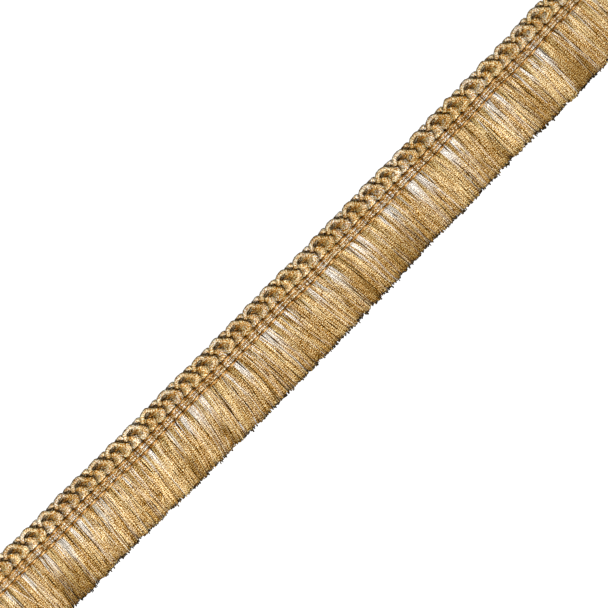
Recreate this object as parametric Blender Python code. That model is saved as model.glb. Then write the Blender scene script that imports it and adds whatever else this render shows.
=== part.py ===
# Brush fringe: a cut length of trim, 313 mm, lying flat and face up.
# Sizes are in millimetres. lie() turns them to metres.
# Before lie(), a point is (along, across, height): along from the left cut end, across from the
# crest of the scallops, less than 0 towards the cut skirt, and height above the table.
import bmesh
import bpy
import numpy as np

# The whole trim
PITCH = 25.4 / 3
SCALLOPS = 37
LENGTH = SCALLOPS * PITCH
STITCHES = 2 * SCALLOPS
BOW_RISE = 1.72
STRETCH = ((0.45, 151.4, 2.33),)
WANDER = ((0.11, 47.0, 0.6), (0.06, 26.0, 2.1))
SWELL = ((0.012, 39.0, 1.0), (0.008, 21.0, 3.3))

# The gimp cords, which lie on the woven band's thin upper part: flat below, narrower above
CORD_WIDE = 1.15
CORD_TOP_WIDE = 0.80
CORD_HIGH = 0.85
CORD_REST = 0.90
# One scallop of the front cord: along, across, the height of its underside over CORD_REST, and that
# of the rear cord. It goes up at the left foot, over the arch, down at the right, round the lower
# loop and under its own arch to the next foot. The rear cord is half a scallop behind.
ROUTE = (
    (2.86, -2.72, 2.07, 0.00),
    (3.63, -1.47, 2.58, 0.00),
    (4.96, -0.73, 2.40, 0.00),
    (6.49, -0.87, 2.25, 0.00),
    (7.89, -1.85, 2.35, 0.65),
    (9.15, -3.28, 2.58, 1.71),
    (9.88, -4.75, 2.58, 1.02),
    (9.50, -6.08, 1.83, 0.26),
    (8.48, -6.63, 1.20, 0.00),
    (7.51, -6.08, 0.57, 0.00),
    (7.23, -4.89, 0.00, 0.00),
    (8.03, -3.81, 0.35, 0.00),
    (9.78, -3.28, 1.16, 0.00),
)

# The upper binding chain: half width and height where two stitches meet, then at the stitch's middle.
# Stitches meet half a stitch from the left cut end, and then once a stitch
CHAIN_ACROSS = -7.81
CHAIN_REST = 0.90
CHAIN_NECK = (0.22, 1.95)
CHAIN_BELLY = (0.32, 2.65)
BELLY_AT = 0.55

# The woven band: across and height of its edges, its thin part under the cords and its ribs, at the
# dips between blocks and at the blocks' middles
BAND_RIBS = (
    (-1.90, 0.00, 0.00),
    (-1.90, 0.60, 0.60),
    (-8.45, 0.60, 0.60),
    (-8.70, 1.95, 2.45),
    (-9.20, 1.50, 1.95),
    (-9.74, 1.95, 2.45),
    (-10.08, 0.00, 0.00),
)

# The skirt: its root strip, with the lower binding chain raised in it, then the locks of cut yarn
LOCKS = 6 * SCALLOPS
STRIP_REAR = -10.40
STRIP_FRONT = -11.15
STRIP_HIGH = 2.05
# How much higher the strip is at its rear points, and at the three locks of a stitch
REAR_RISE = (0.65, 0.15, 0.15)
ROOT_RISE = (0.50, 0.00, 0.50)
TIPS_ACROSS = -31.85
LOCK_HALF_WIDE = (0.57, 0.50, 0.43)
LOCK_HIGH = (2.05, 1.85, 1.25)
LOCK_TOP_SHARE = 0.70
MIDDLE_AT = 0.48
# The lean of the skirt: mm from the trim's middle, then how far the lock's middle and its tip lie aside
LEAN = (
    (-154, -0.10, -0.60),
    (-110, -0.85, -2.10),
    (-90, -0.45, -1.40),
    (-66, -1.15, -3.40),
    (-48, -1.10, -4.00),
    (-33, 0.00, -1.30),
    (-20, 0.90, 1.30),
    (-5, 1.00, 2.30),
    (22, 1.25, 1.85),
    (55, 0.30, 0.10),
    (80, -0.30, -0.80),
    (99, 0.55, 1.00),
    (110, 0.60, 0.60),
    (121, 0.15, -0.60),
    (143, 0.35, 0.30),
    (154, 0.45, 0.65),
)
WAVE = ((0.16, 22.0, 1.7), (0.08, 11.1, 0.3))


def waves(table, along):
    """The sum of the table's (size, wavelength, phase) sine waves."""
    return sum(size * np.sin(2 * np.pi * along / length + phase) for size, length, phase in table)


def lie(points):
    """Points in mm on a straight trim, moved to where the slightly bowed trim lies, in metres."""
    along, across, height = np.asarray(points, float).T
    middle = along + waves(STRETCH, along) - LENGTH / 2
    across = across * (1 + waves(SWELL, along)) + waves(WANDER, along)
    slope = np.arctan(2 * BOW_RISE * middle / (LENGTH / 2) ** 2)
    bow = BOW_RISE * (middle / (LENGTH / 2)) ** 2
    x = middle - across * np.sin(slope)
    y = bow + across * np.cos(slope)
    return np.stack([x, y, height], 1) * 0.001


def add_node(name, points, faces, colour):
    """One closed body, faces out, with a plain material of its own."""
    data = bpy.data.meshes.new(name)
    data.from_pydata(lie(points).tolist(), [], faces)
    shell = bmesh.new()
    shell.from_mesh(data)
    bmesh.ops.recalc_face_normals(shell, faces=shell.faces)
    shell.to_mesh(data)
    shell.free()
    node = bpy.data.objects.new(name, data)
    bpy.context.scene.collection.objects.link(node)
    material = bpy.data.materials.new(name)
    material.use_nodes = True
    shader = material.node_tree.nodes["Principled BSDF"]
    shader.inputs["Base Color"].default_value = (*colour, 1)
    shader.inputs["Roughness"].default_value = 0.7
    data.materials.append(material)
    return node


def add_bar(name, rings, colour):
    """A bar through rings of the same number of points, each turning the same way, capped at its ends."""
    count = len(rings[0])
    faces = [tuple(range(count))]
    for ring in range(len(rings) - 1):
        for side in range(count):
            first, second = ring * count + side, ring * count + (side + 1) % count
            faces.append((first, first + count, second + count, second))
    last = (len(rings) - 1) * count
    faces.append(tuple(reversed(range(last, last + count))))
    return add_node(name, [point for ring in rings for point in ring], faces, colour)


def cord_route(height_column, shift, first, last):
    """The cord's points from table entry first to last, counted on past the end of a scallop."""
    route = []
    for index in range(first, last + 1):
        scallop, entry = divmod(index, len(ROUTE))
        row = ROUTE[entry]
        route.append((row[0] + scallop * PITCH + shift, row[1], row[height_column]))
    return np.array(route)


def add_cord(name, route, colour):
    """A cord laid along route, its sides upright and square to the way it runs."""
    ahead = np.diff(route[:, :2], axis=0)
    ahead /= np.linalg.norm(ahead, axis=1)[:, None]
    ahead = np.vstack([ahead[:1], ahead[:-1] + ahead[1:], ahead[-1:]])
    ahead /= np.linalg.norm(ahead, axis=1)[:, None]
    rings = []
    for (along, across, height), (run_x, run_y) in zip(route, ahead):
        side = np.array([-run_y, run_x])
        ring = []
        for half, up in (
            (CORD_WIDE / 2, 0),
            (-CORD_WIDE / 2, 0),
            (-CORD_TOP_WIDE / 2, CORD_HIGH),
            (CORD_TOP_WIDE / 2, CORD_HIGH),
        ):
            ring.append((along + side[0] * half, across + side[1] * half, CORD_REST + height + up))
        rings.append(ring)
    return add_bar(name, rings, colour)


def add_binding_chain():
    step = LENGTH / STITCHES
    places = [(0, CHAIN_BELLY)]
    for stitch in range(STITCHES):
        neck = (stitch + 0.5) * step
        places.append((neck, CHAIN_NECK))
        if stitch < STITCHES - 1:
            places.append((neck + BELLY_AT * step, CHAIN_BELLY))
    places.append((LENGTH, CHAIN_BELLY))
    rings = []
    for along, (half, high) in places:
        rings.append(
            [
                (along, CHAIN_ACROSS + half, CHAIN_REST),
                (along, CHAIN_ACROSS - half, CHAIN_REST),
                (along, CHAIN_ACROSS - 0.6 * half, high),
                (along, CHAIN_ACROSS + 0.6 * half, high),
            ]
        )
    return add_bar("binding_chain", rings, (0.42, 0.24, 0.07))


def add_woven_band():
    rings = []
    step = LENGTH / STITCHES
    for half_block in range(2 * STITCHES + 1):
        along = half_block * step / 2
        column = 1 if half_block % 2 else 2
        rings.append([(along, rib[0], rib[column]) for rib in (BAND_RIBS[0], *BAND_RIBS[:0:-1])])
    return add_bar("woven_band", rings, (0.52, 0.36, 0.16))


def lock_rings(lock, rough):
    """The three sections of one lock: along, across, half width and height at root, middle and tip."""
    step = LENGTH / LOCKS
    root = (lock + 0.5) * step
    reach = TIPS_ACROSS + 0.28 * np.sin(2 * np.pi * root / 33.0 + 0.9) + 0.45 * rough[0]
    places, middle_lean, tip_lean = np.array(LEAN).T
    middle_aside = np.interp(root - LENGTH / 2, places, middle_lean) + waves(WAVE, root)
    tip_aside = np.interp(root - LENGTH / 2, places, tip_lean)
    middle = STRIP_FRONT + MIDDLE_AT * (reach - STRIP_FRONT)
    return (
        (root, STRIP_FRONT, LOCK_HALF_WIDE[0], LOCK_HIGH[0] + ROOT_RISE[lock % 3]),
        (root + middle_aside, middle, LOCK_HALF_WIDE[1], LOCK_HIGH[1] + 0.16 * rough[1]),
        (root + tip_aside, reach, LOCK_HALF_WIDE[2], LOCK_HIGH[2] + 0.22 * rough[2]),
    )


def add_skirt():
    """The root strip and the locks as one body. Each lock rests level on the table from root to tip."""
    step = LENGTH / LOCKS
    rough = np.random.RandomState(41).uniform(-1, 1, (LOCKS, 3))
    points, faces = [], []

    def put(*point):
        points.append(point)
        return len(points) - 1

    rear = []
    for lock in range(LOCKS + 1):
        along = lock * step
        high = STRIP_HIGH + REAR_RISE[lock % 3]
        rear.append((put(along, STRIP_REAR, 0), put(along, STRIP_REAR, high)))
    locks = []
    for lock in range(LOCKS):
        sections = []
        for place, (along, across, half, high) in enumerate(lock_rings(lock, rough[lock])):
            top = half if place == 0 else half * LOCK_TOP_SHARE
            sections.append(
                (
                    put(along - half, across, 0),
                    put(along + half, across, 0),
                    put(along + top, across, high),
                    put(along - top, across, high),
                )
            )
        locks.append(sections)
        for near, far in zip(sections[:-1], sections[1:]):
            for side in range(4):
                turn = (side + 1) % 4
                faces.append((near[side], far[side], far[turn], near[turn]))
        faces.append(sections[-1])
        low_left, low_right, top_right, top_left = sections[0]
        rear_low, rear_top = rear[lock]
        next_low, next_top = rear[lock + 1]
        faces.append((rear_top, top_left, top_right, next_top))
        faces.append((rear_low, next_low, low_right, low_left))
        faces.append((rear_low, rear_top, next_top, next_low))
    for lock in range(LOCKS - 1):
        low, top = locks[lock][0][1], locks[lock][0][2]
        next_low, next_top = locks[lock + 1][0][0], locks[lock + 1][0][3]
        rear_low, rear_top = rear[lock + 1]
        faces.append((low, next_low, next_top, top))
        faces.append((rear_top, top, next_top))
        faces.append((rear_low, next_low, low))
    first, last = locks[0][0], locks[-1][0]
    faces.append((rear[0][0], first[0], first[3], rear[0][1]))
    faces.append((rear[-1][0], rear[-1][1], last[2], last[1]))
    return add_node("skirt", points, faces, (0.56, 0.38, 0.17))


for leftover in list(bpy.data.objects):
    bpy.data.objects.remove(leftover)

entries = len(ROUTE)
front_route = cord_route(2, 0.0, -1, entries * (SCALLOPS - 1) + 9)
rear_route = cord_route(3, -PITCH / 2, 2, entries * SCALLOPS + 1)
add_cord("gimp_cord_front", front_route, (0.60, 0.45, 0.24))
add_cord("gimp_cord_rear", rear_route, (0.50, 0.34, 0.15))
add_binding_chain()
add_woven_band()
add_skirt()

# The origin is at the middle of the finished trim's box, at the table.
nodes = list(bpy.context.scene.collection.objects)
corners = np.array([vertex.co for node in nodes for vertex in node.data.vertices])
middle_x, middle_y = (corners.min(0) + corners.max(0))[:2] / 2
for node in nodes:
    for vertex in node.data.vertices:
        vertex.co.x -= middle_x
        vertex.co.y -= middle_y
    node.data.update()
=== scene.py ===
import math

import bpy
import numpy as np
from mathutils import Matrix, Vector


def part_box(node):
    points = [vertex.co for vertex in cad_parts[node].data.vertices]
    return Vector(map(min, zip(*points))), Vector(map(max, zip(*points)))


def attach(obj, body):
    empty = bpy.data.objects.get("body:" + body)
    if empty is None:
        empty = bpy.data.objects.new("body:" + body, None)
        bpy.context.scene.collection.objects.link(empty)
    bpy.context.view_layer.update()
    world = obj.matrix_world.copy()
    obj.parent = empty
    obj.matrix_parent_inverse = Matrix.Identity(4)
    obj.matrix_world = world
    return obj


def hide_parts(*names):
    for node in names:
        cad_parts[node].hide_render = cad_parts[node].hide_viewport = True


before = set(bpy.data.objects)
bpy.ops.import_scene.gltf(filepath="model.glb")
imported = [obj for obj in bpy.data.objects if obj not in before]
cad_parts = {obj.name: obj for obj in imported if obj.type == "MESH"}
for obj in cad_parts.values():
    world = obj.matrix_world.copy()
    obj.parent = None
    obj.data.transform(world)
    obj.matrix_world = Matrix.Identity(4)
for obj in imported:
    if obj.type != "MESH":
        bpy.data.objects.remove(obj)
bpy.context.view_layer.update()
bpy.ops.object.select_all(action="DESELECT")

# The trim, in millimetres: along from the left cut end, across from the scallops' crest and below 0
# towards the cut tips, height above the table. The solids lie on the same line
trim = {
    "scallopPitch": 25.4 / 3,
    "scallops": 37,
    "bowRise": 1.72,
    "stretch": ((0.45, 151.4, 2.33),),
    "wander": ((0.11, 47.0, 0.6), (0.06, 26.0, 2.1)),
    "swell": ((0.012, 39.0, 1.0), (0.008, 21.0, 3.3)),
    "bandAcross": (-1.9, -10.08),
}
scallopPitch = trim["scallopPitch"]
trimLength = scallopPitch * trim["scallops"]
stitchCount = 2 * trim["scallops"]
stitchPitch = trimLength / stitchCount


def waves(table, along):
    return sum(size * np.sin(2 * np.pi * along / length + phase) for size, length, phase in table)


def bend(points):
    along, across, height = np.moveaxis(np.asarray(points, float), -1, 0)
    middle = along + waves(trim["stretch"], along) - trimLength / 2
    across = across * (1 + waves(trim["swell"], along)) + waves(trim["wander"], along)
    slope = np.arctan(2 * trim["bowRise"] * middle / (trimLength / 2) ** 2)
    bow = trim["bowRise"] * (middle / (trimLength / 2)) ** 2
    return np.stack([middle - across * np.sin(slope), bow + across * np.cos(slope), height], -1) * 0.001


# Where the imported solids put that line, found from the band's own corners
halfBlocks = np.linspace(0, trimLength, 2 * stitchCount + 1)
bandEdges = bend([(along, across, 0) for along in halfBlocks for across in trim["bandAcross"]])
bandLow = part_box("woven_band")[0]
trimShift = np.array([bandLow.x - bandEdges[:, 0].min(), bandLow.y - bandEdges[:, 1].min(), 0])


def layOnTrim(points):
    return bend(points) + trimShift


def smoothLine(points, perStep):  # a curve through the points, which are evenly laid
    points = np.asarray(points, float)
    ends = np.vstack([2 * points[0] - points[1], points, 2 * points[-1] - points[-2]])
    first, second, third, fourth = ends[:-3], ends[1:-2], ends[2:-1], ends[3:]
    made = []
    for t in np.arange(perStep) / perStep:
        squared = (2 * first - 5 * second + 4 * third - fourth) * t**2
        cubed = (3 * second - first - 3 * third + fourth) * t**3
        made.append(0.5 * (2 * second + (third - first) * t + squared + cubed))
    line = np.stack(made, 1).reshape(-1, points.shape[1])
    return np.vstack([line, points[-1:]])


def easeStep(low, high, value):
    t = np.clip((value - low) / (high - low), 0, 1)
    return t * t * (3 - 2 * t)


def bell(away, reach):  # 1 at a place, and nearly 0 at twice the reach from it
    return np.exp(-((away / reach) ** 2))


def fromNearest(along, at):  # how far past the nearest repeat of a place that every scallop has
    return (along - at + scallopPitch / 2) % scallopPitch - scallopPitch / 2


def anyTwist(rand, count, slow=0.8, fast=1.25):  # where each yarn's twist begins, its pace and its hand
    start = rand.uniform(0, 40, (count, 1))
    pace = rand.uniform(slow, fast, (count, 1))
    return {"start": start, "pace": pace * rand.choice((-1, 1), (count, 1))}


# Yarns are tubes along their paths. Each point keeps its tone, from dark to light gold, how ivory it is
# and how light it lies, for the materials to read. flat is the yarn's height over its width
def spinYarns(paths, thick, sides, tone, ivory, shade, start=0.0, pace=1.0, flat=1.0):
    count, steps, _ = paths.shape
    place = layOnTrim(paths)
    ahead = np.gradient(place, axis=1)
    ahead /= np.linalg.norm(ahead, axis=2, keepdims=True) + 1e-12
    up = np.tile((0.013, 0.021, 1.0), (count, 1))  # a little off upright, so no yarn runs straight along it
    upright = np.empty_like(place)
    for step in range(steps):
        up = up - (up * ahead[:, step]).sum(1, keepdims=True) * ahead[:, step]
        up /= np.linalg.norm(up, axis=1, keepdims=True)
        upright[:, step] = up
    beside = np.cross(ahead, upright)
    radius = np.broadcast_to(np.asarray(thick, float) / 2000, (count, steps))[..., None, None]
    angle = (np.arange(sides) / sides * 2 * np.pi)[:, None]
    outward = np.cos(angle) * beside[:, :, None] + flat * np.sin(angle) * upright[:, :, None]
    points = place[:, :, None] + radius * outward
    run = np.linalg.norm(np.diff(paths, axis=1), axis=2)
    run = np.concatenate([np.zeros((count, 1)), np.cumsum(run, 1)], 1)
    run = run * pace + start

    number = np.arange(count * steps * sides).reshape(count, steps, sides)
    nextSide = np.roll(number, -1, axis=2)
    walls = np.stack([number[:, :-1], number[:, 1:], nextSide[:, 1:], nextSide[:, :-1]], -1)
    left = np.broadcast_to(np.arange(sides) / sides, (count, steps - 1, sides))
    right = left + 1 / sides
    low = np.broadcast_to(run[:, :-1, None], left.shape)
    high = np.broadcast_to(run[:, 1:, None], left.shape)
    around = np.stack([left, left, right, right], -1)
    upward = np.stack([low, high, high, low], -1)
    wallMap = np.stack([around, upward], -1).reshape(-1, 2)
    ends = np.concatenate([number[:, 0], number[:, -1, ::-1]]).reshape(-1, sides)
    endAround = np.broadcast_to(np.arange(sides) / sides, ends.shape)
    endRun = np.broadcast_to(np.concatenate([run[:, 0], run[:, -1]])[:, None], ends.shape)
    endMap = np.stack([endAround, endRun], -1).reshape(-1, 2)

    def spread(value):
        value = np.asarray(value, float)
        while value.ndim < 3:
            value = value[..., None]
        return np.broadcast_to(value, (count, steps, sides)).reshape(-1)

    return {
        "points": points.reshape(-1, 3),
        "walls": walls.reshape(-1, 4),
        "ends": ends,
        "map": np.concatenate([wallMap, endMap]),
        "tone": spread(tone),
        "ivory": spread(ivory),
        "shade": spread(shade),
    }


def makePiece(name, yarns, material, slot, *nodes):
    points = np.concatenate([yarn["points"] for yarn in yarns])
    corners, sizes, maps, before = [], [], [], 0
    for yarn in yarns:
        for part in (yarn["walls"], yarn["ends"]):
            corners.append((part + before).reshape(-1))
            sizes.append(np.full(len(part), part.shape[1]))
        maps.append(yarn["map"])
        before += len(yarn["points"])
    corners, sizes = np.concatenate(corners), np.concatenate(sizes)
    mesh = bpy.data.meshes.new(name)
    mesh.vertices.add(len(points))
    mesh.vertices.foreach_set("co", points.reshape(-1))
    mesh.loops.add(len(corners))
    mesh.loops.foreach_set("vertex_index", corners)
    mesh.polygons.add(len(sizes))
    mesh.polygons.foreach_set("loop_start", np.concatenate([[0], np.cumsum(sizes)[:-1]]))
    mesh.polygons.foreach_set("loop_total", sizes)
    mesh.update(calc_edges=True)
    layer = mesh.uv_layers.new(name="yarn")
    layer.uv.foreach_set("vector", np.concatenate(maps).reshape(-1))
    for wanted in ("tone", "ivory", "shade"):
        kept = mesh.attributes.new(wanted, "FLOAT", "POINT")
        kept.data.foreach_set("value", np.concatenate([yarn[wanted] for yarn in yarns]))
    mesh.polygons.foreach_set("use_smooth", np.ones(len(sizes), bool))
    mesh.materials.append(material)
    mesh.validate()
    piece = bpy.data.objects.new(name, mesh)
    bpy.context.scene.collection.objects.link(piece)
    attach(piece, "root")
    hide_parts(*nodes)
    print(name, "triangles", int((sizes - 2).sum()))


# How every yarn is spun, takes its dye, and is painted with light and shade
twistParts = ("Ridge", "Slub", "Fibre", "Side")
dyeColours = ("Dark", "Middle", "Light", "Grey", "Ivory")
dyeAmounts = ("Groove", "Uneven")
yarnLook = {
    "drift": (0.42, 2.4),  # no two turns are alike: how quickly they stray along the yarn, and how far
    # how often it changes round the yarn and along it, and how finely
    "slub": (1.1, 0.8, 1.0),
    "fibre": (14.0, 1.6, 2.0),
    "fibreSwing": 0.3,
    "round": 0.5,  # painted shade on the yarn's sides, where they turn from the light
    "sideLight": 0.4,
    "pale": (1.1, 0.72),  # how far ivory swings towards grey with the painted light and shade and the uneven spinning, and its middle
    "shadedGold": (-0.11, 0.5),  # painted shade turns gold orange brown: how its red and its blue follow the painted shade
    "shadedIvory": (-0.05, 0.12),  # and painted shade turns ivory grey brown
    "roughness": (-0.25, 0.62),  # ridges are this much glossier, and how rough the grooves are
    "bump": 0.6,
    "bumpDepth": 0.00012,
    "specular": 0.07,
    "specularTint": (1.0, 0.84, 0.58, 1),
}


def startGroup(name, inputs, outputs):
    group = bpy.data.node_groups.new(name, "ShaderNodeTree")
    for way, sockets in (("INPUT", inputs), ("OUTPUT", outputs)):
        for label, kind in sockets:
            group.interface.new_socket(name=label, in_out=way, socket_type=kind)
    return group, group.nodes.new("NodeGroupInput"), group.nodes.new("NodeGroupOutput")


def feed(tree, socket, value):
    if hasattr(value, "links"):
        tree.links.new(value, socket)
    elif value is not None:
        socket.default_value = value


def setInputs(node, values):
    for label, value in values.items():
        node.inputs[label].default_value = value


def addMath(tree, operation, first, second=None, third=None, clamp=False):
    node = tree.nodes.new("ShaderNodeMath")
    node.operation = operation
    node.use_clamp = clamp
    for socket, value in zip(node.inputs, (first, second, third)):
        feed(tree, socket, value)
    return node.outputs[0]


def addMix(tree, factor, first, second, blend="MIX"):
    node = tree.nodes.new("ShaderNodeMix")
    node.data_type = "RGBA"
    node.blend_type = blend
    for socket, value in zip((node.inputs[0], node.inputs[6], node.inputs[7]), (factor, first, second)):
        feed(tree, socket, value)
    return node.outputs[2]


def addNoise(tree, vector, detail):
    node = tree.nodes.new("ShaderNodeTexNoise")
    setInputs(node, {"Scale": 1.0, "Detail": detail})
    tree.links.new(vector, node.inputs["Vector"])
    return node.outputs["Fac"]


def twistGroup():  # the painted light and shade along a twisted yarn, of its plies and its sides, and the uneven tone of its spinning and its fibres
    group, given, made = startGroup(
        "yarnTwist",
        (("Turn", "NodeSocketFloat"), ("Slant", "NodeSocketFloat")),
        [(label, "NodeSocketFloat") for label in twistParts],
    )
    mapNode = group.nodes.new("ShaderNodeUVMap")
    mapNode.uv_map = "yarn"
    split = group.nodes.new("ShaderNodeSeparateXYZ")
    group.links.new(mapNode.outputs[0], split.inputs[0])
    around, run = split.outputs[0], split.outputs[1]
    alongRun = group.nodes.new("ShaderNodeCombineXYZ")
    strayRate, strayFar = yarnLook["drift"]
    group.links.new(addMath(group, "MULTIPLY", run, strayRate), alongRun.inputs[1])
    drift = addMath(group, "MULTIPLY", addNoise(group, alongRun.outputs[0], 1.0), strayFar)
    turns = addMath(group, "ADD", addMath(group, "DIVIDE", run, given.outputs["Turn"]), drift)
    turned = addMath(group, "MULTIPLY_ADD", around, given.outputs["Slant"], turns)
    wave = addMath(group, "COSINE", addMath(group, "MULTIPLY", turned, 2 * math.pi))
    # the ply ridges: a painted highlight on them and painted shade in the grooves, besides the bump
    ridge = addMath(group, "MULTIPLY_ADD", wave, 0.5, 0.5)
    group.links.new(ridge, made.inputs["Ridge"])
    # the yarn's sides, for the painted shade where they turn from the light
    side = addMath(group, "COSINE", addMath(group, "MULTIPLY", around, 2 * math.pi))
    group.links.new(addMath(group, "MULTIPLY", side, side), made.inputs["Side"])
    for label in ("Slub", "Fibre"):
        aroundScale, runScale, detail = yarnLook[label.lower()]
        join = group.nodes.new("ShaderNodeCombineXYZ")
        group.links.new(addMath(group, "MULTIPLY", around, aroundScale), join.inputs[0])
        group.links.new(addMath(group, "MULTIPLY", run, runScale), join.inputs[1])
        noise = addNoise(group, join.outputs[0], detail)
        spread = addMath(group, "MULTIPLY_ADD", noise, 2.0, -0.5, clamp=True)
        group.links.new(spread, made.inputs[label])
    return group


def dyeAndShadeGroup():  # the yarn's colour from its tone and its ivory, with its painted shade and the painted light and dark of its plies and sides
    group, given, made = startGroup(
        "yarnDyeAndShade",
        [(label, "NodeSocketColor") for label in dyeColours]
        + [(label, "NodeSocketFloat") for label in twistParts + dyeAmounts],
        (("Color", "NodeSocketColor"), ("Gloss", "NodeSocketFloat")),
    )
    kept = {}
    for wanted in ("tone", "ivory", "shade"):
        node = group.nodes.new("ShaderNodeAttribute")
        node.attribute_name = wanted
        kept[wanted] = node.outputs["Fac"]

    def fromHalf(label):
        return addMath(group, "SUBTRACT", given.outputs[label], 0.5)

    # the painted highlight and shade of the plies and of the yarn's sides, with the uneven tone of spinning
    # and fibres
    level = addMath(group, "MULTIPLY", fromHalf("Ridge"), given.outputs["Groove"])
    level = addMath(group, "MULTIPLY_ADD", fromHalf("Slub"), given.outputs["Uneven"], level)
    level = addMath(group, "MULTIPLY_ADD", fromHalf("Fibre"), yarnLook["fibreSwing"], level)
    facing = addMath(group, "SUBTRACT", yarnLook["sideLight"], given.outputs["Side"])
    level = addMath(group, "MULTIPLY_ADD", facing, yarnLook["round"], level)
    toned = addMath(group, "ADD", level, kept["tone"])
    lower = addMath(group, "MULTIPLY", toned, 2.0, clamp=True)
    upper = addMath(group, "MULTIPLY_ADD", toned, 2.0, -1.0, clamp=True)
    gold = addMix(group, lower, given.outputs["Dark"], given.outputs["Middle"])
    gold = addMix(group, upper, gold, given.outputs["Light"])
    pale = addMath(group, "MULTIPLY_ADD", level, *yarnLook["pale"], clamp=True)
    ivory = addMix(group, pale, given.outputs["Grey"], given.outputs["Ivory"])
    # the painted shade darkens gold towards orange brown and ivory towards grey brown
    shaded = []
    below = addMath(group, "MINIMUM", kept["shade"], 1.0)
    for colour, (red, blue) in ((gold, yarnLook["shadedGold"]), (ivory, yarnLook["shadedIvory"])):
        join = group.nodes.new("ShaderNodeCombineXYZ")
        for socket, power in zip(join.inputs, (red, 0.0, blue)):
            tintedShade = addMath(group, "POWER", below, power)
            group.links.new(addMath(group, "MULTIPLY", tintedShade, kept["shade"]), socket)
        shaded.append(addMix(group, 1.0, colour, join.outputs[0], "MULTIPLY"))
    group.links.new(addMix(group, kept["ivory"], *shaded), made.inputs["Color"])
    gloss = addMath(group, "MULTIPLY_ADD", given.outputs["Ridge"], *yarnLook["roughness"])
    group.links.new(gloss, made.inputs["Gloss"])
    return group


yarnTwist = twistGroup()
yarnDyeAndShade = dyeAndShadeGroup()


def linear(*seen):  # from a colour as seen on screen
    return (*[((value / 255 + 0.055) / 1.055) ** 2.4 if value > 10 else value / 3294 for value in seen], 1)


def yarnMaterial(name, finish):
    material = bpy.data.materials.new(name)
    material.use_nodes = True
    tree = material.node_tree
    shader = tree.nodes["Principled BSDF"]
    twist = tree.nodes.new("ShaderNodeGroup")
    twist.node_tree = yarnTwist
    setInputs(twist, {"Turn": finish["turn"], "Slant": finish["slant"]})
    dye = tree.nodes.new("ShaderNodeGroup")
    dye.node_tree = yarnDyeAndShade
    setInputs(dye, {label: linear(*finish[label.lower()]) for label in dyeColours})
    setInputs(dye, {label: finish[label.lower()] for label in dyeAmounts})
    for label in twistParts:
        tree.links.new(twist.outputs[label], dye.inputs[label])
    tree.links.new(dye.outputs["Color"], shader.inputs["Base Color"])
    tree.links.new(dye.outputs["Gloss"], shader.inputs["Roughness"])
    bump = tree.nodes.new("ShaderNodeBump")
    setInputs(bump, {"Strength": yarnLook["bump"], "Distance": yarnLook["bumpDepth"]})
    tree.links.new(twist.outputs["Ridge"], bump.inputs["Height"])
    tree.links.new(bump.outputs["Normal"], shader.inputs["Normal"])
    setInputs(shader, {"Specular IOR Level": yarnLook["specular"]})
    setInputs(shader, {"Specular Tint": yarnLook["specularTint"]})
    return material


skirtFinish = {
    "turn": 0.74,  # mm from one painted highlight dot on the yarn to the next
    "slant": 0.4,
    "dark": (107, 62, 1),
    "middle": (198, 145, 36),
    "light": (229, 213, 170),
    "grey": (138, 122, 100),
    "ivory": (233, 229, 223),
    # how far the plies' painted highlight and shade, and the uneven spinning, swing between dark and light
    "groove": 1.55,
    "uneven": 0.85,
}
cordFinish = {
    "slant": 0.7,
    "turn": 0.95,
    "dark": (132, 80, 4),
    "middle": (193, 143, 46),
    "light": (210, 200, 163),
    "grey": (150, 132, 106),
    "ivory": (228, 225, 217),
    "groove": 1.7,
    "uneven": 1.2,
}
bandFinish = {
    "slant": 0.5,
    "turn": 0.9,
    "dark": (108, 68, 14),
    "middle": (195, 149, 66),
    "light": (224, 210, 178),
    "grey": (150, 132, 106),
    "ivory": (238, 233, 223),
    "groove": 2.0,
    "uneven": 1.1,
}
bindingFinish = {
    "slant": 1.0,
    "turn": 0.8,
    "dark": (100, 60, 14),
    "middle": (180, 124, 52),
    "light": (229, 190, 134),
    "grey": (150, 132, 106),
    "ivory": (246, 232, 206),
    "groove": 0.5,
    "uneven": 0.5,
}
skirtRayon = yarnMaterial("skirtRayon", skirtFinish)
gimpRayon = yarnMaterial("gimpRayon", cordFinish)
bandRayon = yarnMaterial("bandRayon", bandFinish)
bindingThread = yarnMaterial("bindingThread", bindingFinish)
print("materials made")

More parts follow.
